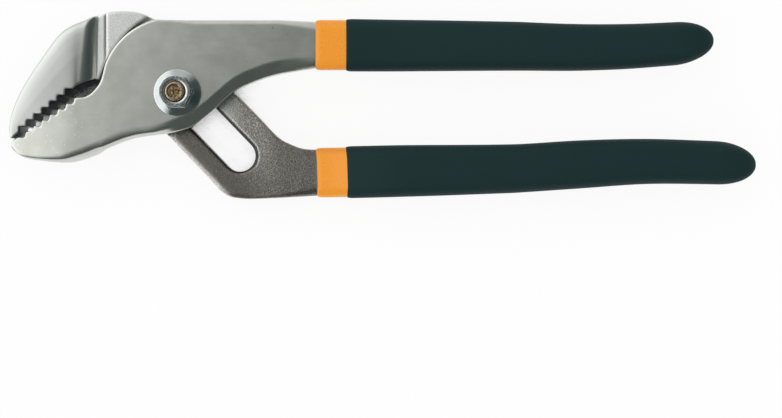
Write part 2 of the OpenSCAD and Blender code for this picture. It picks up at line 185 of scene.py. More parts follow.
# %% A white sheet under the tool
FLOOR_HALF = 6.0
SHEET_PAINT, SHEET_SHADE, GLOW_SHARE = (0.85, 0.85, 0.85), (0.05, 0.065, 0.062), 0.9
CLOSED_REACH, CLOSED, OPEN = 30 * MM, 0.18, 0.29
floor_mesh = bpy.data.meshes.new("floor")
corners = [(-1, -1), (1, -1), (1, 1), (-1, 1)]
floor_mesh.from_pydata([(x * FLOOR_HALF, y * FLOOR_HALF, 0) for x, y in corners], [], [(0, 1, 2, 3)])
floor = bpy.data.objects.new("floor", floor_mesh)
bpy.context.scene.collection.objects.link(floor)
sheet = bpy.data.materials.new("white_sheet")
sheet.use_nodes = True
paper = sheet.node_tree
paper.nodes.clear()
path = add(paper, "ShaderNodeLightPath").outputs
seen = sums(paper, "MAXIMUM", path["Is Camera Ray"], path["Is Glossy Ray"])
seen = sums(paper, "MAXIMUM", seen, path["Is Transmission Ray"])
open_sky = add(paper, "ShaderNodeAmbientOcclusion", {"Distance": CLOSED_REACH}).outputs["AO"]
lit = ramp(paper, open_sky, CLOSED, OPEN)
paint = add(paper, "ShaderNodeBsdfDiffuse", {"Color": tint(paper, lit, SHEET_SHADE, SHEET_PAINT)})
glow = add(paper, "ShaderNodeEmission", {"Color": (1, 1, 1, 1), "Strength": 1.0})
share = times(paper, seen, times(paper, lit, GLOW_SHARE))
both = add(paper, "ShaderNodeMixShader", {0: share, 1: paint.outputs[0], 2: glow.outputs[0]})
add(paper, "ShaderNodeOutputMaterial", {"Surface": both.outputs[0]})
floor_mesh.materials.append(sheet)
floor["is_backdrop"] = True
print("Floor at z =", floor.location.z)

# %% [markdown]
# ## Shared effects
# The finishes are built from six effects: small pits, blasted grain, grinding lines, rubbed edges,
# painted shade in the mouth and the skin of a dipped coat. Each is one node group, and sizes go into it
# in millimetres. They read the place and the bend of the surface, so no mesh needs unwrapping.

# %% [markdown]
# A forging keeps small pits where scale was driven in, and plate has fine specks. A cell pattern has
# one dot per cell, a lot drawn by the cell's own colour leaves many dots out, and a little noise
# shifts the pattern so that the dots are not round.

# %% Effect: sparse pits
PIT_SIZES = {"Spacing": 3.0, "Radius": 0.12, "Share": 0.3, "Waver": 1.0}
PIT_WALL = 0.4


def per_mm(tree, size):
    return sums(tree, "DIVIDE", 1000.0, size)


def surface_point(tree):
    return add(tree, "ShaderNodeTexCoord").outputs["Object"]


pits, ins, outs = new_effect("pits", PIT_SIZES, ["Mask", "Height"])
waver = add(pits, "ShaderNodeTexNoise", {"Vector": surface_point(pits), "Scale": per_mm(pits, ins["Spacing"]),
                                         "Detail": 3.0, "Roughness": 0.8}).outputs["Color"]
far = times(pits, ins["Waver"], MM)
shift = add(pits, "ShaderNodeVectorMath", {0: waver, "Scale": far}, operation="SCALE").outputs[0]
place = add(pits, "ShaderNodeVectorMath", {0: surface_point(pits), 1: shift}, operation="ADD").outputs[0]
cells = add(pits, "ShaderNodeTexVoronoi", {"Vector": place, "Scale": per_mm(pits, ins["Spacing"])})
reach = sums(pits, "DIVIDE", ins["Radius"], ins["Spacing"])
pit = ramp(pits, sums(pits, "DIVIDE", cells.outputs["Distance"], reach), PIT_WALL, 1.0, 1.0, 0.0)
lot = add(pits, "ShaderNodeSeparateColor", {"Color": cells.outputs["Color"]}).outputs["Red"]
chosen = sums(pits, "LESS_THAN", lot, ins["Share"])
mask = times(pits, pit, chosen)
pits.links.new(mask, outs["Mask"])
pits.links.new(times(pits, mask, -1.0), outs["Height"])
print("Effect:", pits.name)

# %% [markdown]
# Shot blasting leaves a fine, even roughness. Two noises are enough: a small one for the height and
# a broad one for the slow change of tone. Squeezing the pattern along the bar makes its flecks lie
# across it.

# %% Effect: blasted grain
BAR_LAY, BROAD_PATCH = 45, 6.25
grain, ins, outs = new_effect("blasted_grain", {"Size": 0.5, "Stretch": 1.0}, ["Height", "Tone"])
stretch = add(grain, "ShaderNodeCombineXYZ", {"X": ins["Stretch"], "Y": 1.0, "Z": 1.0}).outputs[0]
lay = {"Vector": surface_point(grain), "Angle": math.radians(BAR_LAY)}
laid = add(grain, "ShaderNodeVectorRotate", lay, rotation_type="Z_AXIS").outputs[0]
where = add(grain, "ShaderNodeVectorMath", {0: laid, 1: stretch}, operation="MULTIPLY").outputs[0]
small = {"Vector": where, "Scale": per_mm(grain, ins["Size"]), "Detail": 3.0}
broad = {"Vector": where, "Scale": 1 / (BROAD_PATCH * MM), "Detail": 2.0}
grain.links.new(add(grain, "ShaderNodeTexNoise", small).outputs["Fac"], outs["Height"])
grain.links.new(add(grain, "ShaderNodeTexNoise", broad).outputs["Fac"], outs["Tone"])
print("Effect:", grain.name)

# %% [markdown]
# A grinding belt leaves fine lines along the tool. A noise that is drawn out along the tool and
# squeezed across it looks like that at any distance, and it needs no picture.

# %% Effect: grinding lines
lines, ins, outs = new_effect("grinding_lines", {"Width": 0.15, "Length": 12.0}, ["Height"])
long, thin = per_mm(lines, ins["Length"]), per_mm(lines, ins["Width"])
size = add(lines, "ShaderNodeCombineXYZ", {"X": long, "Y": thin, "Z": long}).outputs[0]
where = add(lines, "ShaderNodeVectorMath", {0: surface_point(lines), 1: size}, operation="MULTIPLY")
strokes = add(lines, "ShaderNodeTexNoise", {"Vector": where.outputs[0], "Scale": 1.0, "Detail": 2.0})
lines.links.new(strokes.outputs["Fac"], outs["Height"])
print("Effect:", lines.name)

# %% [markdown]
# Plate wears thin on edges, and the colour is made darker in hollow corners. Blender measures how the
# surface bends at each vertex and calls it pointiness: a half is flat, more is an edge and less is a
# corner. Two fades turn that into two masks, which costs less than sampling the surroundings.

# %% Effect: rubbed edges and dark corners
FLAT, FLAT_SLACK = 0.5, 0.005
edges, ins, outs = new_effect("rubbed_edges", {"Sharpness": 0.05}, ["Edge", "Corner"])
bend = add(edges, "ShaderNodeNewGeometry").outputs["Pointiness"]
high = sums(edges, "ADD", ins["Sharpness"], FLAT)
low = sums(edges, "SUBTRACT", FLAT, ins["Sharpness"])
edges.links.new(ramp(edges, bend, FLAT + FLAT_SLACK, high), outs["Edge"])
edges.links.new(ramp(edges, bend, low, FLAT - FLAT_SLACK, 1.0, 0.0), outs["Corner"])
print("Effect:", edges.name)

# %% [markdown]
# Between the jaws the teeth get painted shade. It lies where a point is close to the line of the bite,
# in front of the throat, on a surface that stands steep.

# %% Effect: painted shade on the steep walls of the mouth
THROAT, NOSE = np.array((-34.3, 0)), np.array((-55.2, -15.5))
GAPE, NOSE_GAPE, THROAT_END = (0, 1.55), (0, 0.35), (-28, -25)
SHADE_FADE, STEEP, LEVEL = 0.4, 0.3, 0.7
bite = (NOSE - THROAT) / np.linalg.norm(NOSE - THROAT)
off_bite = np.array((-bite[1], bite[0]))
mouth_shade, ins, outs = new_effect("painted_mouth_shade", {"Reach": 3.6}, ["Mask"])
point = surface_point(mouth_shade)
gap = sums(mouth_shade, "SUBTRACT", dot(mouth_shade, point, (*off_bite, 0)), off_bite @ THROAT * MM)
gap = sums(mouth_shade, "DIVIDE", sums(mouth_shade, "ABSOLUTE", gap, 0.0), MM)
inside = ramp(mouth_shade, sums(mouth_shade, "SUBTRACT", gap, ins["Reach"]), -SHADE_FADE, SHADE_FADE, 1.0, 0.0)
inside = times(mouth_shade, inside, fade_mm(mouth_shade, dot(mouth_shade, point, (1, 0, 0)), THROAT_END, 1.0, 0.0))
upright = dot(mouth_shade, add(mouth_shade, "ShaderNodeNewGeometry").outputs["Normal"], (0, 0, 1))
steep = ramp(mouth_shade, sums(mouth_shade, "ABSOLUTE", upright, 0.0), STEEP, LEVEL, 1.0, 0.0)
mouth_shade.links.new(times(mouth_shade, inside, steep), outs["Mask"])
print("Effect:", mouth_shade.name)

# %% [markdown]
# Dipped vinyl is smooth, with long waves where it ran and very fine dust in its gloss. A broad and a
# fine noise together do this, and the fine one also varies the tone.

# %% Effect: the skin of a dipped coat
DUST_HEIGHT = 0.06
skin, ins, outs = new_effect("dip_skin", {"Wave": 6.0, "Dust": 0.35}, ["Height", "Tone"])
broad = {"Vector": surface_point(skin), "Scale": per_mm(skin, ins["Wave"]), "Detail": 1.0}
fine = {"Vector": surface_point(skin), "Scale": per_mm(skin, ins["Dust"]), "Detail": 2.0}
waves = add(skin, "ShaderNodeTexNoise", broad).outputs["Fac"]
dust = add(skin, "ShaderNodeTexNoise", fine).outputs["Fac"]
skin.links.new(sums(skin, "ADD", waves, times(skin, dust, DUST_HEIGHT)), outs["Height"])
skin.links.new(dust, outs["Tone"])
print("Effect:", skin.name)

# %% [markdown]
# ## Finishes
# A finish is one material: a Principled shader in the material itself, with the shared effects
# plugged into its colour, roughness and bump. Values that are the same all over stay on the shader.

# %% A helper that starts a finish
def new_finish(name, **plain):
    finish = bpy.data.materials.new(name)
    finish.use_nodes = True
    tree = finish.node_tree
    tree.nodes.clear()
    shader = add(tree, "ShaderNodeBsdfPrincipled", {key.replace("_", " "): v for key, v in plain.items()})
    add(tree, "ShaderNodeOutputMaterial", {"Surface": shader.outputs[0]})
    return finish, tree, shader


def bump(tree, shader, height, depth):
    made = add(tree, "ShaderNodeBump", {"Height": height, "Distance": depth * MM, "Strength": 1.0})
    tree.links.new(made.outputs[0], shader.inputs["Normal"])


def join(tree, a, b, weight):
    return sums(tree, "ADD", a, times(tree, b, weight))


print("Finish helpers ready")

# %% [markdown]
# The front half is satin nickel over a ground forging: even and grey, with faint lines along the
# tool, a few pits, brighter rubbed edges, fine specks on the jaw and painted shade between its teeth.
# It could be painted on an image, but the piece would then need unwrapping. Masks from the shared
# effects lay one tone over another instead, and they shape its bump too.

# %% Finish: satin plate on the front half
SATIN_DEEP, SATIN_PALE, SPECK_TONE = (0.565, 0.575, 0.525), (0.68, 0.69, 0.64), (0.86, 0.87, 0.84)
PIT_TONE, EDGE_TONE, CORNER_TONE = (0.16, 0.15, 0.13), (0.85, 0.87, 0.85), (0.2, 0.2, 0.19)
MOUTH_SHADE_TONE, JAW_FADE = (0.022, 0.031, 0.03), (-36, -12)
satin, tree, shader = new_finish("satin_plate", Metallic=1.0)
strokes = place_effect(tree, lines, {"Width": 0.16, "Length": 9.0})["Height"]
pit = place_effect(tree, pits, {"Spacing": 4.5, "Radius": 0.28, "Share": 0.3})
speck = place_effect(tree, pits, {"Spacing": 1.2, "Radius": 0.36, "Share": 0.5, "Waver": 1.4})
wear = place_effect(tree, edges, {"Sharpness": 0.06})
cloud = place_effect(tree, grain, {"Size": 0.45})
along = add(tree, "ShaderNodeSeparateXYZ", {"Vector": surface_point(tree)}).outputs["X"]
specks = times(tree, speck["Mask"], fade_mm(tree, along, JAW_FADE, 0.6, 0.15))
mottle = join(tree, times(tree, cloud["Tone"], 0.7), strokes, 0.3)
colour = tint(tree, ramp(tree, mottle, 0.25, 0.75), SATIN_DEEP, SATIN_PALE)
colour = tint(tree, specks, colour, SPECK_TONE)
colour = tint(tree, pit["Mask"], colour, PIT_TONE)
colour = tint(tree, times(tree, wear["Edge"], 0.15), colour, EDGE_TONE)
colour = tint(tree, times(tree, wear["Corner"], 0.5), colour, CORNER_TONE)
# Painted shade on the steep walls between the teeth.
colour = tint(tree, place_effect(tree, mouth_shade, {})["Mask"], colour, MOUTH_SHADE_TONE)
tree.links.new(colour, shader.inputs["Base Color"])
tree.links.new(ramp(tree, strokes, 0.25, 0.75, 0.28, 0.34), shader.inputs["Roughness"])
height = join(tree, times(tree, strokes, 0.06), cloud["Height"], 0.12)
height = join(tree, height, pit["Height"], 0.8)
bump(tree, shader, join(tree, height, specks, 0.25), 0.05)
print("Finish:", satin.name)

# %% [markdown]
# The slotted half is one forging with two finishes. Its bar and ledge are left as they came from the
# shot blast and plated over, so they sparkle. Its jaw is polished, so it shows the window clearly.
# Two materials would need a seam in the mesh, so one material has both, and a soft mask along the
# tool divides them. The bar also has painted shade on a rim round its slot, so the finish first works
# out how far each point lies from the slot's outline.

# %% Where the slot and its rim lie
SLIDE_ANGLE, SLOT_W, TRAVEL, SLOT_LEAD, UPPER_STRAP, LOWER_STRAP = 134, 10.6, 23.8, 4.96, 8.4, 7.4
RIM_TURN, RIM_NARROW, RIM_BROAD = (-2, 2), 0.65, 1.0


def turned(radius, angle):
    return radius * np.array((math.cos(math.radians(angle)), math.sin(math.radians(angle))))


SLIDE, ACROSS = turned(1, SLIDE_ANGLE), turned(1, SLIDE_ANGLE - 90)
blasted, tree, shader = new_finish("blasted_and_polished", Metallic=1.0)
point = surface_point(tree)
where = add(tree, "ShaderNodeSeparateXYZ", {"Vector": point}).outputs
across = dot(tree, point, (*ACROSS, 0))
along = sums(tree, "ADD", dot(tree, point, (*SLIDE, 0)), TRAVEL / 2 * MM)
past_end = sums(tree, "SUBTRACT", sums(tree, "ABSOLUTE", along, 0.0), (TRAVEL / 2 + SLOT_LEAD) * MM)
past_end = sums(tree, "MAXIMUM", past_end, 0.0)
corner = add(tree, "ShaderNodeCombineXYZ", {"X": past_end, "Y": across}).outputs[0]
reach = add(tree, "ShaderNodeVectorMath", {0: corner}, operation="LENGTH").outputs["Value"]
rim_width = fade_mm(tree, across, RIM_TURN, RIM_NARROW * MM, RIM_BROAD * MM)
past_rim = sums(tree, "SUBTRACT", sums(tree, "SUBTRACT", reach, SLOT_W / 2 * MM), rim_width)
print("Slot from end to end in mm:", TRAVEL + 2 * SLOT_LEAD + SLOT_W)

# %% [markdown]
# The bar is grey with pale flecks. Its upper strap gets painted light, above all close to the front
# half, where that half's shadow would fall, and its long lower edge gets a painted highlight. Each of
# these is a mask over the same two grains, so they run into each other without a border.

# %% Finish: the blasted bar
BAR_DEEP, BAR_PALE = (0.162, 0.153, 0.134), (0.36, 0.34, 0.298)
LOWER_TONE, UPPER_LIGHT_TONE = (0.137, 0.13, 0.112), (0.94, 0.925, 0.875)
FLECK_TONE, EDGE_HIGHLIGHT_TONE, EDGE_HIGHLIGHT_W = (0.97, 0.96, 0.93), (0.93, 0.92, 0.89), 1.9
rough_grain = place_effect(tree, grain, {"Size": 0.45, "Stretch": 1.8})
fine_grain = place_effect(tree, grain, {"Size": 0.28})
upper_side = times(tree, fade_mm(tree, across, (-4, 8)), fade_mm(tree, where["X"], (24, 37), 1.0, 0.0))
lower_side = fade_mm(tree, across, (-8, -2), 0.6, 0.0)
painted_light_near_plate = fade_mm(tree, where["X"], (10, 23), 0.95, 0.1)
flecks = times(tree, ramp(tree, rough_grain["Height"], 0.52, 0.66), join(tree, 0.06, upper_side, 0.62))
long_edge = -(SLOT_W / 2 + LOWER_STRAP)
# A painted highlight along the bar's long lower edge.
edge_wear_and_highlight = fade_mm(tree, across, (long_edge, long_edge + EDGE_HIGHLIGHT_W), 1.0, 0.0)
edge_wear_and_highlight = times(tree, edge_wear_and_highlight, ramp(tree, rough_grain["Height"], 0.38, 0.6, 0.35, 1.0))
bar_tone = tint(tree, ramp(tree, fine_grain["Height"], 0.4, 0.64), BAR_DEEP, BAR_PALE)
bar_tone = tint(tree, lower_side, bar_tone, LOWER_TONE)
# Painted light on the upper strap near the front half, which lifts that half's shadow.
bar_tone = tint(tree, times(tree, upper_side, painted_light_near_plate), bar_tone, UPPER_LIGHT_TONE)
bar_tone = tint(tree, flecks, bar_tone, FLECK_TONE)
bar_tone = tint(tree, edge_wear_and_highlight, bar_tone, EDGE_HIGHLIGHT_TONE)
print("Long edge of the bar in mm from the slide's line:", -long_edge)

# %% [markdown]
# Painted shade darkens the chamfer and the walls of the slot, and beside it the upper strap gets a
# thin painted highlight. Both follow the distance from the slot that was worked out above.

# %% Finish: the slot's rim
GLINT_IN, GLINT_OUT, GLINT_SIDE, RIM_FADE = (0.1, 0.3), (0.4, 0.9), (0, 3), (-0.1, 0.15)
GLINT_TONE, RIM_SHADE_TONE = (0.95, 0.95, 0.93), (0.025, 0.03, 0.028)
# A thin painted highlight on the upper strap beside the slot's rim.
glint = times(tree, fade_mm(tree, past_rim, GLINT_IN), fade_mm(tree, past_rim, GLINT_OUT, 0.6, 0.0))
glint = times(tree, glint, fade_mm(tree, across, GLINT_SIDE))
bar_tone = tint(tree, glint, bar_tone, GLINT_TONE)
# Painted shade on the chamfer and the walls of the slot.
bar_tone = tint(tree, fade_mm(tree, past_rim, RIM_FADE, 0.9, 0.0), bar_tone, RIM_SHADE_TONE)
print("Rim of the slot in mm:", RIM_NARROW, "to", RIM_BROAD)

# %% [markdown]
# The ledge behind the jaw is blasted too, but paler, with a lighter strip next to the jaw. The
# polished jaw is one even tone, and what it shows is the room. Rubbed edges, dark corners and the
# painted shade between the teeth come last, over all of it.

# %% Finish: the ledge and the polished jaw
POLISH_END, LEDGE_END, STRIP_END = (-28.1, -27.2), (-8, -3), (-25, -24.2)
LEDGE_DEEP, LEDGE_PALE, JAW_TONE = (0.74, 0.75, 0.73), (0.97, 0.98, 0.96), (0.575, 0.59, 0.566)
BAR_CORNER_TONE = (0.16, 0.16, 0.15)
wear = place_effect(tree, edges, {"Sharpness": 0.06})
polished = fade_mm(tree, where["X"], POLISH_END, 1.0, 0.0)
on_ledge = fade_mm(tree, where["X"], LEDGE_END, 1.0, 0.0)
on_strip = fade_mm(tree, where["X"], STRIP_END, 0.5, 0.0)
ledge_tone = tint(tree, ramp(tree, fine_grain["Height"], 0.5, 0.66), LEDGE_DEEP, LEDGE_PALE)
ledge_tone = tint(tree, on_strip, ledge_tone, LEDGE_PALE)
colour = tint(tree, polished, tint(tree, on_ledge, bar_tone, ledge_tone), JAW_TONE)
colour = tint(tree, times(tree, wear["Edge"], 0.25), colour, EDGE_TONE)
colour = tint(tree, times(tree, wear["Corner"], 0.5), colour, BAR_CORNER_TONE)
# Painted shade on the steep walls between the teeth.
colour = tint(tree, place_effect(tree, mouth_shade, {})["Mask"], colour, MOUTH_SHADE_TONE)
tree.links.new(colour, shader.inputs["Base Color"])
print("Ledge in mm:", POLISH_END[1], "to", LEDGE_END[0])

# %% [markdown]
# Roughness and bump follow the same masks. The ledge is the dullest, and the jaw, which the polish
# has smoothed, keeps hardly any of the grain.

# %% Finish: grain of the slotted half
BAR_ROUGH, LEDGE_ROUGH, POLISH_GAIN, GRAIN_DEPTH = 0.36, 0.5, 0.04, 0.2
bare = sums(tree, "SUBTRACT", 1.0, polished)
coarse = ramp(tree, times(tree, bare, on_ledge), 0.0, 1.0, BAR_ROUGH, LEDGE_ROUGH)
dullness = sums(tree, "SUBTRACT", coarse, times(tree, polished, POLISH_GAIN))
tree.links.new(dullness, shader.inputs["Roughness"])
height = join(tree, rough_grain["Height"], fine_grain["Height"], 0.35)
calm = times(tree, ramp(tree, on_ledge, 0.0, 1.0, 1.0, 0.45), ramp(tree, upper_side, 0.0, 0.6, 0.6, 1.0))
height = times(tree, height, times(tree, bare, calm))
bump(tree, shader, join(tree, height, fine_grain["Height"], 0.03), GRAIN_DEPTH)
print("Finish:", blasted.name)

# %% [markdown]
# The nut is bright plate, smooth enough to mirror the room. Its own colour is nearly even, because
# the window and the dark wall already draw its flanks. Its worn edges are brighter.

# %% Finish: bright nut
NUT_DEEP, NUT_PALE, NUT_EDGE_TONE = (0.42, 0.47, 0.46), (0.56, 0.6, 0.59), (0.92, 0.93, 0.92)
bright, tree, shader = new_finish("bright_plate", Metallic=1.0)
haze = place_effect(tree, grain, {"Size": 0.6})
wear = place_effect(tree, edges, {"Sharpness": 0.05})
colour = tint(tree, haze["Tone"], NUT_DEEP, NUT_PALE)
colour = tint(tree, times(tree, wear["Edge"], 0.7), colour, NUT_EDGE_TONE)
tree.links.new(colour, shader.inputs["Base Color"])
tree.links.new(ramp(tree, haze["Height"], 0.3, 0.7, 0.1, 0.2), shader.inputs["Roughness"])
bump(tree, shader, haze["Height"], 0.03)
print("Finish:", bright.name)

# %% [markdown]
# The bolt is yellow zinc that has dulled to a brown brass. Its peened end is rough, so a coarse and a
# fine grain dent it. Its edges are rubbed bright, apart from the hollow of that end, where dirt stays.

# %% Finish: dulled bolt
ZINC_DEEP, ZINC_PALE, ZINC_EDGE_TONE = (0.103, 0.073, 0.04), (0.38, 0.27, 0.152), (0.8, 0.72, 0.56)
WORN_FROM = (2.1, 2.5)
zinc, tree, shader = new_finish("dulled_zinc", Metallic=1.0)
knocks = place_effect(tree, grain, {"Size": 0.7})
crust = place_effect(tree, grain, {"Size": 0.25})
wear = place_effect(tree, edges, {"Sharpness": 0.06})
where = add(tree, "ShaderNodeSeparateXYZ", {"Vector": surface_point(tree)}).outputs
off_axis = add(tree, "ShaderNodeCombineXYZ", {"X": where["X"], "Y": where["Y"]}).outputs[0]
off_axis = add(tree, "ShaderNodeVectorMath", {0: off_axis}, operation="LENGTH").outputs["Value"]
edge_wear_and_highlight = times(tree, wear["Edge"], fade_mm(tree, off_axis, WORN_FROM, 0.0, 0.7))
colour = tint(tree, ramp(tree, knocks["Height"], 0.35, 0.65), ZINC_DEEP, ZINC_PALE)
colour = tint(tree, edge_wear_and_highlight, colour, ZINC_EDGE_TONE)
tree.links.new(colour, shader.inputs["Base Color"])
tree.links.new(ramp(tree, crust["Height"], 0.3, 0.7, 0.3, 0.5), shader.inputs["Roughness"])
bump(tree, shader, join(tree, knocks["Height"], crust["Height"], 0.4), 0.12)
print("Finish:", zinc.name)

# %% [markdown]
# The handles were dipped in orange vinyl, and again, not quite as deep, in a dark green-black one.
# Both coats are smooth and nearly flat in tone, with slight waves where the vinyl ran. They differ
# only in colour, gloss and sheen, so one function makes both.

# %% Finishes: the two dipped coats
GLOSS_SPREAD, WORN_GAIN = 0.06, 1.5


def dipped(name, deep, pale, roughness, sheen):
    finish, tree, shader = new_finish(name, Specular_IOR_Level=sheen)
    coat = place_effect(tree, skin, {"Wave": 7.0, "Dust": 0.3})
    wear = place_effect(tree, edges, {"Sharpness": 0.1})
    worn = [min(1, part * WORN_GAIN) for part in pale]
    colour = tint(tree, ramp(tree, coat["Tone"], 0.3, 0.7), deep, pale)
    colour = tint(tree, times(tree, wear["Edge"], 0.15), colour, worn)
    tree.links.new(colour, shader.inputs["Base Color"])
    dullness = ramp(tree, coat["Tone"], 0.2, 0.8, roughness - GLOSS_SPREAD, roughness + GLOSS_SPREAD)
    tree.links.new(dullness, shader.inputs["Roughness"])
    bump(tree, shader, coat["Height"], 0.06)
    return finish


orange = dipped("orange_vinyl", (0.81, 0.285, 0.012), (0.86, 0.31, 0.017), roughness=0.28, sheen=0.5)
dark = dipped("dark_vinyl", (0.0062, 0.0245, 0.0258), (0.0074, 0.0268, 0.0285), roughness=0.6, sheen=0.16)
print("Finishes:", orange.name, dark.name)

# %% [markdown]
# ## Forged skins
# Each half is a row of cross-sections. A cross-section has two edge points, a lowest and a highest
# level, and a shape for each of its four edges. A smooth curve through the edge points joins them.
# Drawing the sections again here, far more finely than in the solid, gives a skin without flats.

# %% Sections and edges
CORNER, EDGE_SHARE, TINY = 13, 0.45, 1e-6


def rounded(width, depth):
    angle = np.linspace(0, math.pi / 2, CORNER)
    return np.stack([width * (1 - np.sin(angle)), depth * (1 - np.cos(angle))], 1)


def drawn(*points):
    points = np.array(points, float)
    run = np.concatenate([[0], np.cumsum(np.linalg.norm(np.diff(points, axis=0), axis=1))])
    at = np.linspace(0, run[-1], CORNER)
    return np.stack([np.interp(at, run, points[:, 0]), np.interp(at, run, points[:, 1])], 1)


def station(first, second, levels, shapes, share=EDGE_SHARE):
    return np.array(first, float), np.array(second, float), np.array(levels, float), np.array(shapes), share


def ring(st):
    first, second, (low, high), shapes, share = st
    span = np.linalg.norm(second - first)
    along = (second - first) / span
    most_wide, most_deep = share * span, EDGE_SHARE * (high - low)
    fit = [e * [min(1, most_wide / max(e[0, 0], TINY)), min(1, most_deep / max(e[-1, 1], TINY))]
           for e in shapes]
    flat = np.concatenate([
        np.stack([span - fit[2][:, 0], low + fit[2][:, 1]], 1),
        np.stack([span - fit[1][::-1, 0], high - fit[1][::-1, 1]], 1),
        np.stack([fit[0][:, 0], high - fit[0][:, 1]], 1),
        np.stack([fit[3][::-1, 0], low + fit[3][::-1, 1]], 1)])
    return np.column_stack([first + flat[:, :1] * along, flat[:, 1]])


print("Points in one section:", 4 * CORNER)

# %% [markdown]
# A curve through all sections keeps the sides of the forging flowing. Levels and edge shapes are held
# between those of their neighbours, so that a flat face does not swell, and a real step in the level
# becomes a short ramp.

# %% Smooth curves through the sections
STEP = 0.8


def curve(a, b, c, d, t):
    return (2 * b + (c - a) * t + (2 * a - 5 * b + 4 * c - d) * t**2 + (3 * b - a - 3 * c + d) * t**3) / 2


def held(a, b, c, d, t):
    return np.clip(curve(a, b, c, d, t), np.minimum(b, c), np.maximum(b, c))


def level(a, b, c, d, t):
    if abs(c - b).max() > STEP:
        return b + (c - b) * t * t
    return held(a if abs(b - a).max() < STEP else b, b, c, d if abs(d - c).max() < STEP else c, t)


def smooth(row, steps):
    out = []
    for i in range(len(row) - 1):
        a, b, c, d = row[max(i - 1, 0)], row[i], row[i + 1], row[min(i + 2, len(row) - 1)]
        for t in np.arange(steps) / steps:
            first, second = (curve(a[k], b[k], c[k], d[k], t) for k in (0, 1))
            levels = level(a[2], b[2], c[2], d[2], t)
            shapes = held(a[3], b[3], c[3], d[3], t)
            out.append((first, second, levels, shapes, b[4] + (c[4] - b[4]) * t))
    return out + [row[-1]]


def add_piece(name, points, faces):
    mesh = bpy.data.meshes.new(name)
    mesh.from_pydata((np.asarray(points) * MM).tolist(), [], faces)
    mesh.validate()
    piece = bpy.data.objects.new(name, mesh)
    bpy.context.scene.collection.objects.link(piece)
    return piece


def loft(name, rings):
    n, last = len(rings[0]), len(rings) - 1
    faces = [(i * n + j, (i + 1) * n + j, (i + 1) * n + (j + 1) % n, i * n + (j + 1) % n)
             for i in range(last) for j in range(n)]
    faces += [list(range(n)), list(range(last * n + n - 1, last * n - 1, -1))]
    return add_piece(name, np.concatenate(rings), faces)


print("Loft helpers ready")

# %% [markdown]
# ## Handle sections
# Both handles follow the same recipe: a tang that starts as the thickness of its plate and eases
# over to the middle of the tool, with a width that narrows towards the tip. The tang, the orange
# coat and the dark coat are the same sections, grown by a little more each time.

# %% Levels of the two halves, and the handle recipe
Z_BACK, Z_LAP, Z_LAP_FRONT, Z_FRONT = 4.55, 10.55, 10.65, 16.65
Z_JAW, Z_LEDGE, Z_MID = 17.15, 14.15, 10.6
COLLAR_X, COLLAR_L, GRIP_W, PLATE_T, TANG_T, TANG_BEND = 45.8, 10.2, 17.5, 6, 9.0, 30.0
# The width and the depth of a tang's rounded edge, each with its change along the bend.
TANG_EDGE = ((3.6, -0.7), (2.4, 1.4))
UNDERCOAT, OVERCOAT, BOND, TIP_ROUND, TIP_SOLID = 0.6, 0.4, 0.03, 13.0, 9.0
# Each handle has a length, a height of its middle, the level of its plate, and rows of shape: the
# share of the length, the shift upwards and the width, both as shares of the grip's width.
HANDLES = {
    "upper": (133.8, 16.2, (Z_LAP_FRONT + Z_FRONT) / 2, [
        (0, 0, 1), (0.2, 0.011, 0.983), (0.5, 0, 0.931), (0.65, -0.023, 0.891), (0.78, -0.006, 0.857),
        (0.9, 0.046, 0.823), (1, 0.103, 0.8)]),
    "lower": (148.0, -26.3, (Z_BACK + Z_LAP) / 2, [
        (0, 0, 1.006), (0.2, 0.029, 0.994), (0.45, 0.074, 0.937), (0.6, 0.154, 0.926), (0.75, 0.211, 0.869),
        (0.9, 0.189, 0.834), (1, 0.149, 0.811)]),
}


def handle_station(side, x, grow, taper=1.0):
    length, y, plate_mid, shape = HANDLES[side]
    shape = np.array(shape, float)
    share = min(x / length, 1)
    i = min(np.searchsorted(shape[:, 0], share, "right") - 1, len(shape) - 2)
    t = (share - shape[i, 0]) / (shape[i + 1, 0] - shape[i, 0])
    before, after = shape[max(i - 1, 0)], shape[min(i + 2, len(shape) - 1)]
    shift, width = curve(before, shape[i], shape[i + 1], after, t)[1:]
    bend = min(x / TANG_BEND, 1)
    bend = bend * bend * (3 - 2 * bend)
    z = plate_mid + (Z_MID - plate_mid) * bend
    half_w = (width * GRIP_W / 2 - UNDERCOAT - OVERCOAT + grow) * taper
    half_t = ((PLATE_T + (TANG_T - PLATE_T) * bend) / 2 + grow) * taper
    edge = rounded(*((first + change * bend + grow) * taper for first, change in TANG_EDGE))
    y = y + shift * GRIP_W
    x += COLLAR_X
    return station((x, y + half_w), (x, y - half_w), (z - half_t, z + half_t), [edge] * 4)


print("Handle width at the mouth in mm:", GRIP_W)

# %% [markdown]
# ## From loft to forging
# A forging has no knife edges. The loft is first cut with plain cutters for the teeth, the slot and
# the bore, then its skin is wrapped again in an even net of small cells and relaxed a little. That
# rounds every cut edge by the same small amount, as tumbling and plating do.

# %% Cutters, and a helper that cuts and wraps
VOXEL, EASE, EASE_ROUNDS = 0.315, 0.5, 2
# How far a cutter reaches past the metal that it cuts.
PAST = 1.0


def prism(name, outline, low, high):
    n = len(outline)
    points = [(*p, low) for p in outline] + [(*p, high) for p in outline]
    sides = [(j, (j + 1) % n, n + (j + 1) % n, n + j) for j in range(n)]
    return add_piece(name, points, [list(range(n))[::-1], list(range(n, 2 * n))] + sides)


def circle(radius, middle=(0, 0), start=0, stop=360, count=96):
    angle = np.radians(np.linspace(start, stop, count, endpoint=stop - start != 360))
    return np.array(middle) + radius * np.stack([np.cos(angle), np.sin(angle)], 1)


def band(name, middle, inner, outer, start, stop, low, high):
    outline = np.concatenate([circle(outer, middle, start, stop, 24), circle(inner, middle, stop, start, 24)])
    return prism(name, outline, low, high)


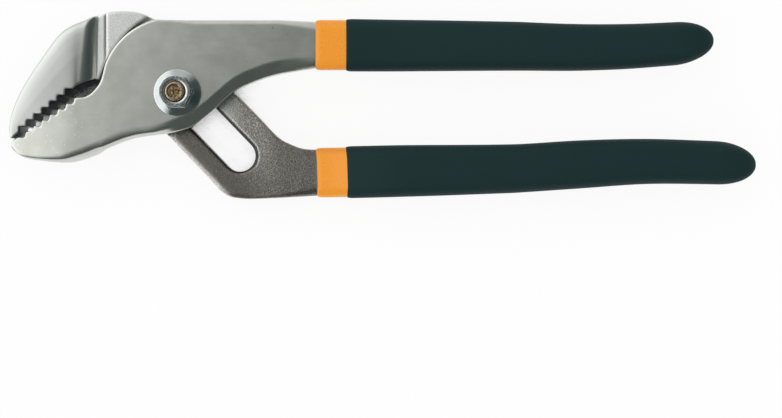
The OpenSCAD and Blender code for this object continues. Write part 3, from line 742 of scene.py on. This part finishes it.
def apply_all(piece):
    ready = piece.evaluated_get(bpy.context.evaluated_depsgraph_get())
    mesh = bpy.data.meshes.new_from_object(ready)
    piece.modifiers.clear()
    piece.data = mesh


def outward(piece):
    bpy.context.view_layer.objects.active = piece
    bpy.ops.object.mode_set(mode="EDIT")
    bpy.ops.mesh.select_all(action="SELECT")
    bpy.ops.mesh.normals_make_consistent(inside=False)
    bpy.ops.object.mode_set(mode="OBJECT")


def forge(piece, joined, cutters, tail):
    for other, operation in [(o, "UNION") for o in joined] + [(o, "DIFFERENCE") for o in cutters]:
        outward(other)
        step = piece.modifiers.new(operation, "BOOLEAN")
        step.object, step.operation, step.solver = other, operation, "EXACT"
    wrap = piece.modifiers.new("wrap", "REMESH")
    wrap.mode, wrap.voxel_size = "VOXEL", VOXEL * MM
    ease = piece.modifiers.new("ease", "SMOOTH")
    ease.factor, ease.iterations = EASE, EASE_ROUNDS
    outward(piece)
    apply_all(piece)
    outward(tail)
    step = piece.modifiers.new("tail", "BOOLEAN")
    step.object, step.operation, step.solver = tail, "UNION", "EXACT"
    apply_all(piece)
    for other in joined + cutters + [tail]:
        bpy.data.objects.remove(other)
    piece.data.shade_smooth()
    print(piece.name, "faces:", len(piece.data.polygons))


# %% [markdown]
# The tang runs on inside the coats, almost to the handle's tip, where nobody sees it. A plain loft a
# hair thinner than the wrapped skin carries it there with few faces, and is joined on at the end.

# %% The hidden run of a tang
TAIL_SLACK, TAIL_FROM, TAIL_END, TAIL_ROWS = 0.12, 12, 0.75, 14


def tang_tail(side):
    end = HANDLES[side][0] - TIP_SOLID
    places = np.linspace(TAIL_FROM, end - TIP_SOLID / 2, TAIL_ROWS)
    rows = [handle_station(side, x, -TAIL_SLACK) for x in places]
    rows.append(handle_station(side, end, -TAIL_SLACK, TAIL_END))
    return loft(side + "_tang_tail", [ring(s) for s in rows])


print("Tang length in mm:", HANDLES["upper"][0] - TIP_SOLID, HANDLES["lower"][0] - TIP_SOLID)

# %% [markdown]
# The teeth are steps cut along a line from throat to nose. The upper row steps squarely, the lower
# row a little more evenly. One prism per row cuts them all, so the pitch, the lean and the depth of a
# row stay three numbers.

# %% Rows of teeth
LOWER_THROAT, LOWER_NOSE = THROAT - GAPE, NOSE - NOSE_GAPE
UPPER_THROAT, UPPER_NOSE = THROAT + GAPE, NOSE + NOSE_GAPE
PITCH = 3.3


def beside(throat, nose, place, height):
    row = nose - throat
    return throat + row * place + height * np.array((-row[1], row[0]))


def teeth(name, throat, nose, side, phase, lean, depth):
    length = np.linalg.norm(nose - throat)
    along = (nose - throat) / length
    across = side * np.array((-along[1], along[0]))
    count = int((length - phase) // PITCH)
    steps = [(phase, -PAST)]
    for i in range(count):
        steps += [(phase + i * PITCH, 0), (phase + (i + lean) * PITCH, depth)]
    steps += [(phase + count * PITCH, 0), (phase + count * PITCH, -PAST)]
    return prism(name, [throat + along * u + across * v for u, v in steps], Z_BACK - PAST, Z_JAW + PAST)


print("Tooth pitch in mm:", PITCH)

# %% [markdown]
# ## Front half
# This is the half on the near side: the upper tang comes down past the nut and ends in the lower
# jaw. Its face is flat and droops a little at the nose. The lower side of the tang has a broad bevel,
# and under the jaw the edge drops to a narrow shelf where the forging dies met.

# %% The front half's sections
SHOULDER_R, SHOULDER_AT, TANG_STEP = 24.2, np.array((-1.55, 0.95)), 0.8
KEEN, EASED, SOFT = rounded(0.3, 0.3), rounded(0.9, 0.7), rounded(1.6, 1.4)
BEVEL = drawn((4.2, 0), (4.0, 0.06), (0.6, 1.9), (0.15, 2.15), (0, 2.6))
SHELF = drawn((3.0, 0), (2.1, 0.1), (1.4, 0.35), (0.85, 0.9), (0.5, 1.7), (0, 5.2))
FRONT_PLATE, FRONT_BLOCK = (Z_LAP_FRONT, Z_FRONT), (Z_BACK, Z_FRONT)
DROOP = 1.0


def lower_jaw(inner, outer, height, face, foot):
    first = beside(LOWER_THROAT, LOWER_NOSE, inner, 0)
    second = beside(LOWER_THROAT, LOWER_NOSE, outer, height)
    return station(first, second, (Z_BACK, Z_FRONT - DROOP * inner**2), [KEEN, face, foot, KEEN])


def near(x, y):
    return SHOULDER_AT + (x, y)


def shoulder(angle, x, y, ground=0.0):
    lower = SHELF + (BEVEL - SHELF) * ground
    top_x, top_y = turned(SHOULDER_R, angle)
    return station(near(top_x, min(top_y, SHOULDER_R - TANG_STEP)), near(x, y), FRONT_PLATE,
                   [KEEN, lower, EASED, EASED])


def upper_tang(top_x, x, y):
    return station(near(top_x, SHOULDER_R - TANG_STEP), near(x, y), FRONT_PLATE, [SOFT, BEVEL, EASED, EASED])


front_row = [
    lower_jaw(1, 1.03, 0.02, KEEN, KEEN), lower_jaw(0.96, 1.065, 0.083, SOFT, SOFT),
    lower_jaw(0.87, 1.034, 0.213, SHELF * 0.35, SOFT), lower_jaw(0.75, 0.937, 0.336, SHELF * 0.45, SOFT),
    lower_jaw(0.53, 0.766, 0.486, SHELF * 0.6, SOFT), lower_jaw(0.25, 0.592, 0.612, SHELF * 0.8, SOFT),
    lower_jaw(0.02, 0.415, 0.683, SHELF, SOFT),
    station(near(-29.1, -2.1), near(-27.5, -21.2), FRONT_BLOCK, [KEEN, SHELF, SOFT, KEEN]),
    station(near(-26.2, 0), near(-23.4, -19.5), FRONT_PLATE, [KEEN, SHELF, EASED, EASED]),
    shoulder(172, -19.3, -17.8), shoulder(158, -15.5, -16.4), shoulder(144, -11.5, -15.4),
    shoulder(130, -7, -14.8), shoulder(117, -2.9, -14.3, 0.3), shoulder(105, 1.8, -13.5, 0.9),
    shoulder(95, 6.2, -12, 1),
    upper_tang(6, 10.2, -9.1), upper_tang(12, 14.1, -5.8), upper_tang(17, 17.4, -2.7),
    upper_tang(21.5, 20.9, 0.1), upper_tang(26.5, 25.4, 2.4), upper_tang(35, 34.4, 5.4),
    handle_station("upper", 0, 0)]
print("Sections of the front half:", len(front_row))

# %% The front half's skin
TANG_FINE, FINE_STEPS = (5.0, 10.0, 16.0), 8
TONGUE_R, TONGUE_W, TONGUE_FROM, TONGUE_TO = 20.0, 1.6, 151.3, 171.0
TONGUE_H, TONGUE_ROOT, BORE_R = 1.2, 0.5, 4.05


def skin_rings(row, side):
    covered = [handle_station(side, x, 0) for x in TANG_FINE]
    return [ring(s) for s in smooth(row, FINE_STEPS) + covered]


front_half = loft("front_half_forging", skin_rings(front_row, "upper"))
tongue = band("tongue", (0, 0), TONGUE_R - TONGUE_W / 2, TONGUE_R + TONGUE_W / 2, TONGUE_FROM, TONGUE_TO,
              Z_LAP_FRONT - TONGUE_H, Z_LAP_FRONT + TONGUE_ROOT)
bore = prism("bore", circle(BORE_R), Z_LAP - PAST, Z_FRONT + PAST)
lower_teeth = teeth("lower_teeth", LOWER_THROAT, LOWER_NOSE, side=1, phase=0, lean=0.48, depth=1.4)
forge(front_half, [tongue], [bore, lower_teeth], tang_tail("upper"))
front_half.data.materials.append(satin)

# %% [markdown]
# ## Slotted half
# This half runs from the upper jaw, behind the front half, down the slotted bar to the lower tang.
# The jaw is a full block with a crowned, polished face. Behind it a step drops to a ledge, and a
# round recess in the ledge leaves room for the front half's shoulder.

# %% The slotted half's sections
LAP_SLACK, JAW_SHARE, DROOP_FROM = 0.02, 0.85, 0.2
BACK_PLATE, BACK_LEDGE = (Z_BACK, Z_LAP - LAP_SLACK), (Z_BACK, Z_LEDGE)
CROWN = drawn((17, 0), (11, 0.03), (7, 0.12), (4, 0.25), (2.4, 0.4), (1.2, 0.6), (0.5, 0.9), (0.15, 1.3),
              (0, 1.8))
FOOT = rounded(4.2, 2.6)
BAR_EDGES, LEDGE_EDGES = [EASED, rounded(2.4, 1.6), EASED, EASED], [EASED, EASED, EASED, SOFT]


def upper_jaw(outer, height, inner, face, foot):
    first = beside(UPPER_THROAT, UPPER_NOSE, outer, -height)
    second = beside(UPPER_THROAT, UPPER_NOSE, inner, 0)
    top = Z_JAW - DROOP * max(inner - DROOP_FROM, 0)**2
    return station(first, second, (Z_BACK, top), [face, KEEN, KEEN, foot], JAW_SHARE)


def bar(upper_place, lower_place):
    return station(ACROSS * (SLOT_W / 2 + UPPER_STRAP) - SLIDE * TRAVEL * upper_place,
                   -ACROSS * (SLOT_W / 2 + LOWER_STRAP) - SLIDE * TRAVEL * lower_place, BACK_PLATE, BAR_EDGES)


bar_end = 1 + (SLOT_LEAD + SLOT_W / 2) / TRAVEL
slotted_row = [
    upper_jaw(1.012, 0.022, 1, KEEN, KEEN), upper_jaw(0.94, 0.131, 0.92, CROWN * 0.4, SOFT),
    upper_jaw(0.82, 0.243, 0.8, CROWN * 0.75, FOOT), upper_jaw(0.65, 0.351, 0.68, CROWN, FOOT),
    upper_jaw(0.415, 0.452, 0.48, CROWN, FOOT), upper_jaw(0.1, 0.553, 0.27, CROWN, FOOT),
    upper_jaw(-0.254, 0.647, 0.1, CROWN, FOOT),
    station(near(-33.9, 21.6), UPPER_THROAT, (Z_BACK, Z_JAW - 0.05), [CROWN, KEEN, KEEN, FOOT], JAW_SHARE),
    station(near(-29.2, 23.6), near(-31.2, 1.7), (Z_BACK, Z_JAW - 0.2), [CROWN] + LEDGE_EDGES[1:], JAW_SHARE),
    station(near(-25.5, 25.3), near(-26, 3.6), BACK_LEDGE, LEDGE_EDGES),
    station(near(-20.7, 26.5), near(-24, 3.2), BACK_LEDGE, LEDGE_EDGES),
    station(near(-16, 26.7), near(-22, 1.9), BACK_LEDGE, LEDGE_EDGES),
    station(near(-11.6, 26.1), near(-20, 0.2), BACK_LEDGE, BAR_EDGES),
    station(near(-8, 24.8), near(-18, -1.6), BACK_LEDGE, BAR_EDGES),
    station(near(-4.6, 23), near(-16, -3.4), BACK_PLATE, BAR_EDGES),
    bar(-0.44, -0.12), bar(0.09, 0.29), bar(0.57, 0.7), bar(1, 1.07), bar(bar_end - 0.04, bar_end),
    station((37.7, -17), (20, -35), BACK_PLATE, BAR_EDGES),
    station((41.7, -18.3), (28.9, -35), BACK_PLATE, [EASED] * 4),
    handle_station("lower", 0, 0)]
print("Sections of the slotted half:", len(slotted_row))

# %% The slotted half's cutters
MOUTH_W, MOUTH_D, MOUTH_REACH, SLOT_POINTS = 0.8, 0.5, (-0.3, 1.5), 40
RECESS_R, RECESS_GAP, RECESS_TURN, RECESS_POINTS = 35.0, 0.5, -32.5, 240
GROOVE_FIT, GROOVE_D, GROOVE_LEAD, GROOVE_RUN, SETTINGS = 0.3, 1.5, 2, 20, 7
SCRIBE_W, SCRIBE_OUT, SCRIBE_X, SCRIBE_FROM, SCRIBE_TO = 0.45, 0.1, -24.3, 4.0, 28.0


def slot_outline(grow):
    r = SLOT_W / 2 + grow
    close, far = SLIDE * SLOT_LEAD, -SLIDE * (TRAVEL + SLOT_LEAD)
    front, back = SLIDE_ANGLE - 90, SLIDE_ANGLE + 90
    return np.concatenate([circle(r, close, front, back, SLOT_POINTS),
                           circle(r, far, back, back + 180, SLOT_POINTS)])


slot = prism("slot", slot_outline(0), Z_BACK - PAST, Z_JAW + PAST)
mouth_rings = []
for share in MOUTH_REACH:
    depth = np.full(2 * SLOT_POINTS, Z_LAP + MOUTH_D * (share - 1))
    mouth_rings.append(np.column_stack([slot_outline(MOUTH_W * share), depth]))
mouth = loft("slot_mouth", mouth_rings)
recess_at = near(*turned(RECESS_R - SHOULDER_R - RECESS_GAP, RECESS_TURN))
recess = prism("recess", circle(RECESS_R, recess_at, count=RECESS_POINTS), Z_LAP, Z_JAW + PAST)
inner, outer = TONGUE_R - TONGUE_W / 2 - GROOVE_FIT, TONGUE_R + TONGUE_W / 2 + GROOVE_FIT
grooves = []
for k in range(SETTINGS):
    at = -SLIDE * TRAVEL / (SETTINGS - 1) * k
    grooves.append(band("groove", at, inner, outer, TONGUE_FROM - GROOVE_LEAD, TONGUE_TO + GROOVE_RUN,
                        Z_LAP - GROOVE_D, Z_LAP + PAST))
notch = [(-SCRIBE_W, SCRIBE_OUT), (SCRIBE_W, SCRIBE_OUT), (SCRIBE_W, 0), (0, -SCRIBE_W), (-SCRIBE_W, 0)]
scribe = prism("scribe", notch, SCRIBE_FROM, SCRIBE_TO)
lay_down = Matrix(((1, 0, 0, SCRIBE_X * MM), (0, 0, 1, 0), (0, 1, 0, Z_LEDGE * MM), (0, 0, 0, 1)))
scribe.data.transform(lay_down)
print("Grooves:", len(grooves))

# %% The slotted half's skin
slotted_half = loft("slotted_half_forging", skin_rings(slotted_row, "lower"))
upper_teeth = teeth("upper_teeth", UPPER_THROAT, UPPER_NOSE, side=-1, phase=0.4, lean=0.61, depth=1.6)
forge(slotted_half, [], [slot, mouth, recess, scribe, upper_teeth] + grooves, tang_tail("lower"))
slotted_half.data.materials.append(blasted)

# %% [markdown]
# ## Nut
# A flange nut is a hexagon with its top corners turned off, standing on a cone. At every height the
# outline is either the hexagon, the turned chamfer or the cone, so one function of angle and height
# draws the whole nut, and a soft minimum rounds the edges where two of them meet.

# %% The flange nut
NUT_AF, NUT_H, NUT_BORE_R, SEAT_GAP = 10.0, 6.0, 3.25, 0.05
FLANGE_D, FLANGE_RIM, FLANGE_SLOPE, FLANGE_BLEND, RIM_CUT = 15.5, 0.9, 2.0, 0.3, 0.05
CORNER_CUT, TOP_INSET, EDGE_BLEND, CHAMFER_DROP, CHAMFER_SLOPE = 0.08, 0.08, 0.12, 0.37, 1.67
NUT_Z = Z_FRONT + SEAT_GAP
AROUND = 240
angles = np.linspace(0, 2 * math.pi, AROUND, endpoint=False)


def soft_min(a, b, blend):
    h = np.clip(0.5 + 0.5 * (b - a) / blend, 0, 1)
    return b + (a - b) * h - blend * h * (1 - h)


def nut_radius(z):
    turn = (angles % (math.pi / 3)) - math.pi / 6
    hexagon = NUT_AF / 2 / np.cos(turn)
    corner = NUT_AF / 2 / math.cos(math.pi / 6)
    hexagon = soft_min(hexagon, corner - CORNER_CUT, EDGE_BLEND)
    chamfer = corner + (NUT_H - CHAMFER_DROP - z) * CHAMFER_SLOPE
    body = soft_min(hexagon, chamfer, EDGE_BLEND)
    cone = FLANGE_D / 2 - RIM_CUT - max(z - FLANGE_RIM, 0) * FLANGE_SLOPE
    return -soft_min(-body, np.full(AROUND, -cone), FLANGE_BLEND)


def round_ring(radius, z):
    radius = np.broadcast_to(radius, (AROUND,))
    return np.column_stack([radius * np.cos(angles), radius * np.sin(angles), np.full(AROUND, z)])


heights = np.concatenate([np.linspace(0.25, 2.4, 24), np.linspace(2.5, 5.1, 8), np.linspace(5.15, NUT_H, 14)])
flange_lip = [(FLANGE_D / 2 - 0.3, 0.0), (FLANGE_D / 2 - 0.12, 0.05), (FLANGE_D / 2 - RIM_CUT, 0.15)]
thread_mouth = [(4.4, NUT_H), (3.7, NUT_H), (3.62, NUT_H - 0.04), (3.22, NUT_H - 0.4)]
nut_rings = [round_ring(r, z) for r, z in [(NUT_BORE_R, 0)] + flange_lip]
nut_rings += [round_ring(nut_radius(z), z) for z in heights]
nut_rings += [round_ring(nut_radius(NUT_H) - TOP_INSET, NUT_H)]
nut_rings += [round_ring(r, z) for r, z in thread_mouth]
nut = loft("flange_nut", [r + [0, 0, NUT_Z] for r in nut_rings])
nut.data.materials.append(bright)
print("Nut faces:", len(nut.data.polygons))

# %% [markdown]
# ## Bolt
# The bolt has a domed mushroom head at the back, a neck with two flats that ride in the slot, a
# round shank that the front half turns on and a threaded end. All of it is rings on one axis: the
# neck is a ring with two flats, and the thread is a wave that climbs as it goes round.

# %% The bolt's head, neck, shank and thread
HEAD_D, HEAD_H, CROWN_D, NECK_L, NECK_W, SHANK_D, THREAD_D = 16.5, 4.5, 8.0, 14.0, 10.44, 8.0, 6.35
THREAD_PITCH, THREAD_DEPTH, THREAD_STEP, DOME_SHARE = 1.27, 0.3, 0.08, 0.7
BOLT_PROUD, END_H = 0.7, 0.45
BOLT_END = NUT_Z + NUT_H + BOLT_PROUD
off_flats = np.abs(np.sin(angles - math.radians(SLIDE_ANGLE)))
neck = np.minimum(NECK_L / 2, NECK_W / 2 / np.maximum(off_flats, TINY))
dome = [(CROWN_D / 2 + (HEAD_D - CROWN_D) / 2 * math.sin(a), HEAD_H * DOME_SHARE * (1 - math.cos(a)))
        for a in np.linspace(0, math.pi / 2, 18)]
rows = [(CROWN_D / 4, 0.0)] + dome
rows += [(HEAD_D / 2, HEAD_H - 0.25), (HEAD_D / 2 - 0.08, HEAD_H - 0.06), (HEAD_D / 2 - 0.3, HEAD_H)]
rows += [(neck + 0.02, HEAD_H + 0.01), (neck - 0.02, HEAD_H + 0.1)]
rows += [(neck - 0.02, Z_LAP - 0.2), (neck - 0.2, Z_LAP)]
rows += [(SHANK_D / 2, Z_LAP + 0.01), (SHANK_D / 2, Z_FRONT - 0.2), (SHANK_D / 2 - 0.2, Z_FRONT - 0.05)]
for z in np.arange(Z_FRONT, BOLT_END - END_H, THREAD_STEP):
    wave = np.abs(((z / THREAD_PITCH - angles / (2 * math.pi)) % 1) - 0.5) * 2
    rows.append((THREAD_D / 2 - THREAD_DEPTH * wave, z))
print("Rings up to the end of the thread:", len(rows))

# %% [markdown]
# The end was peened over the nut, which leaves a raised, uneven rim round a rough hollow. Blows of a
# small hammer are drawn by lot from a fixed seed, so that the end looks the same at every run.

# %% The peened end
SEED, KNOCK_SPAN, KNOCK, BLOWS, HOLLOW = 4, 14, 0.1, 26, 0.16
rng = np.random.default_rng(SEED)
jolts = np.tile(rng.normal(0, 1, AROUND), 3)
knock = np.convolve(jolts, np.ones(KNOCK_SPAN) / KNOCK_SPAN, "same")[AROUND:2 * AROUND]
peened = [(3.1, -0.4), (3.05, -0.22), (2.92, -0.08), (2.75, -0.02), (2.55, 0), (2.35, -0.05), (2.15, -0.12)]
rows += [(r + KNOCK * knock, BOLT_END + dz) for r, dz in peened]
bolt_rings = [round_ring(r, z) for r, z in rows]
blows = np.column_stack([rng.uniform(-2, 2, (BLOWS, 2)), rng.uniform(0.25, 0.55, BLOWS),
                         rng.uniform(-0.13, 0.1, BLOWS)])
for r in np.linspace(1.95, 0.1, 12):
    x, y = r * np.cos(angles), r * np.sin(angles)
    dent = sum(h * np.exp(-((x - a)**2 + (y - b)**2) / w**2) for a, b, w, h in blows)
    bolt_rings.append(np.column_stack([x, y, BOLT_END - HOLLOW + np.clip(dent, -0.15, 0.12)]))
bolt = loft("mushroom_bolt", bolt_rings)
bolt.data.materials.append(zinc)
print("Bolt faces:", len(bolt.data.polygons))

# %% [markdown]
# ## Dipped coats
# A dipped coat ends in a soft rounded lip where the liquid stood, not in a cut. The coat is drawn as
# a closed skin: from the tip back along the layer beneath, round the lip, and out again to the round
# tip. Thickening a copy of the handle would be quicker, but it would leave a square lip. The lip's
# line leans and bows a little, because a handle is never held quite straight in the bath.

# %% Both coats of both handles
LIP_RUN, LIP_POINTS, LINE_FADE = 2.0, 10, 6.0
COAT_FROM, COAT_STEP, COAT_STOP, INSIDE_STEP = 0.6, 1.6, 0.5, 6.0
OUTSIDE_TIP, INSIDE_TIP = np.linspace(0, 88, 23), (0, 30, 55, 75, 86)
DIP_LINE = {"upper": (0.0, 0.2), "lower": (0.5, 0.5)}


def mouth_ring(side, x, grow, start):
    lean, bow = DIP_LINE[side]
    points = ring(handle_station(side, x, grow))
    low, high = points[:, 1].min(), points[:, 1].max()
    v = (2 * points[:, 1] - low - high) / (high - low)
    points[:, 0] += max(0, 1 - (x - start) / LINE_FADE) * (bow * (1 - v * v) - lean / 2 * v)
    return points


def tip_rings(side, length, grow, degrees):
    return [ring(handle_station(side, length - TIP_ROUND * (1 - math.sin(a)), grow, math.cos(a)))
            for a in np.radians(degrees)]


def coat_row(side, start, inner, outer, end):
    length = HANDLES[side][0] - end
    lip = [(start + LIP_RUN * (1 - math.cos(a)), inner + (outer - inner) * math.sin(a))
           for a in np.linspace(0, math.pi / 2, LIP_POINTS)]
    run = np.arange(start + LIP_RUN + COAT_FROM, length - TIP_ROUND - COAT_STOP, COAT_STEP)
    rings = [mouth_ring(side, x, grow, start) for x, grow in lip + [(x, outer) for x in run]]
    return rings + tip_rings(side, length, outer, OUTSIDE_TIP)


def inside_row(side, start, grow, end):
    length = HANDLES[side][0] - end
    run = np.arange(start, length - TIP_ROUND, INSIDE_STEP)
    rings = [mouth_ring(side, x, grow, start) for x in run] + tip_rings(side, length, grow, INSIDE_TIP)
    return rings[::-1]


coats = []
for side in HANDLES:
    under = loft(side + "_orange_coat", inside_row(side, 0.0, BOND, TIP_SOLID)
                 + coat_row(side, 0.0, BOND, UNDERCOAT, OVERCOAT + BOND))
    over = loft(side + "_dark_coat", inside_row(side, COLLAR_L, UNDERCOAT + BOND, OVERCOAT)
                + coat_row(side, COLLAR_L, UNDERCOAT + BOND, UNDERCOAT + OVERCOAT, 0.0))
    under.data.materials.append(orange)
    over.data.materials.append(dark)
    coats.append((side, under, over))
print("Coats:", [piece.name for _, *pair in coats for piece in pair])

# %% [markdown]
# ## Hand the pieces to the frame
# Each new skin stands for one CAD node, hides it and rides on its body, so the joints move it. The
# box of all skins is then printed, because a finish must not change the size of the tool.

# %% Ride and replace
def stand_for(piece, node, body):
    outward(piece)
    piece.data.shade_smooth()
    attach(piece, body)
    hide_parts(node)


stand_for(front_half, "front_half", "front")
stand_for(slotted_half, "slotted_half", "slotted")
stand_for(nut, "pivot_nut", "pivot")
stand_for(bolt, "pivot_bolt", "pivot")
for side, under, over in coats:
    body = {"upper": "front", "lower": "slotted"}[side]
    stand_for(under, side + "_handle_undercoat", body)
    stand_for(over, side + "_handle_grip", body)
for piece, angle in ((nut, 40), (bolt, 60)):
    piece.data.set_sharp_from_angle(angle=math.radians(angle))

# %% Print the size of the skins
low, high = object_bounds()
print("Visual box in mm:", [round(1000 * (b - a), 1) for a, b in zip(low, high)])
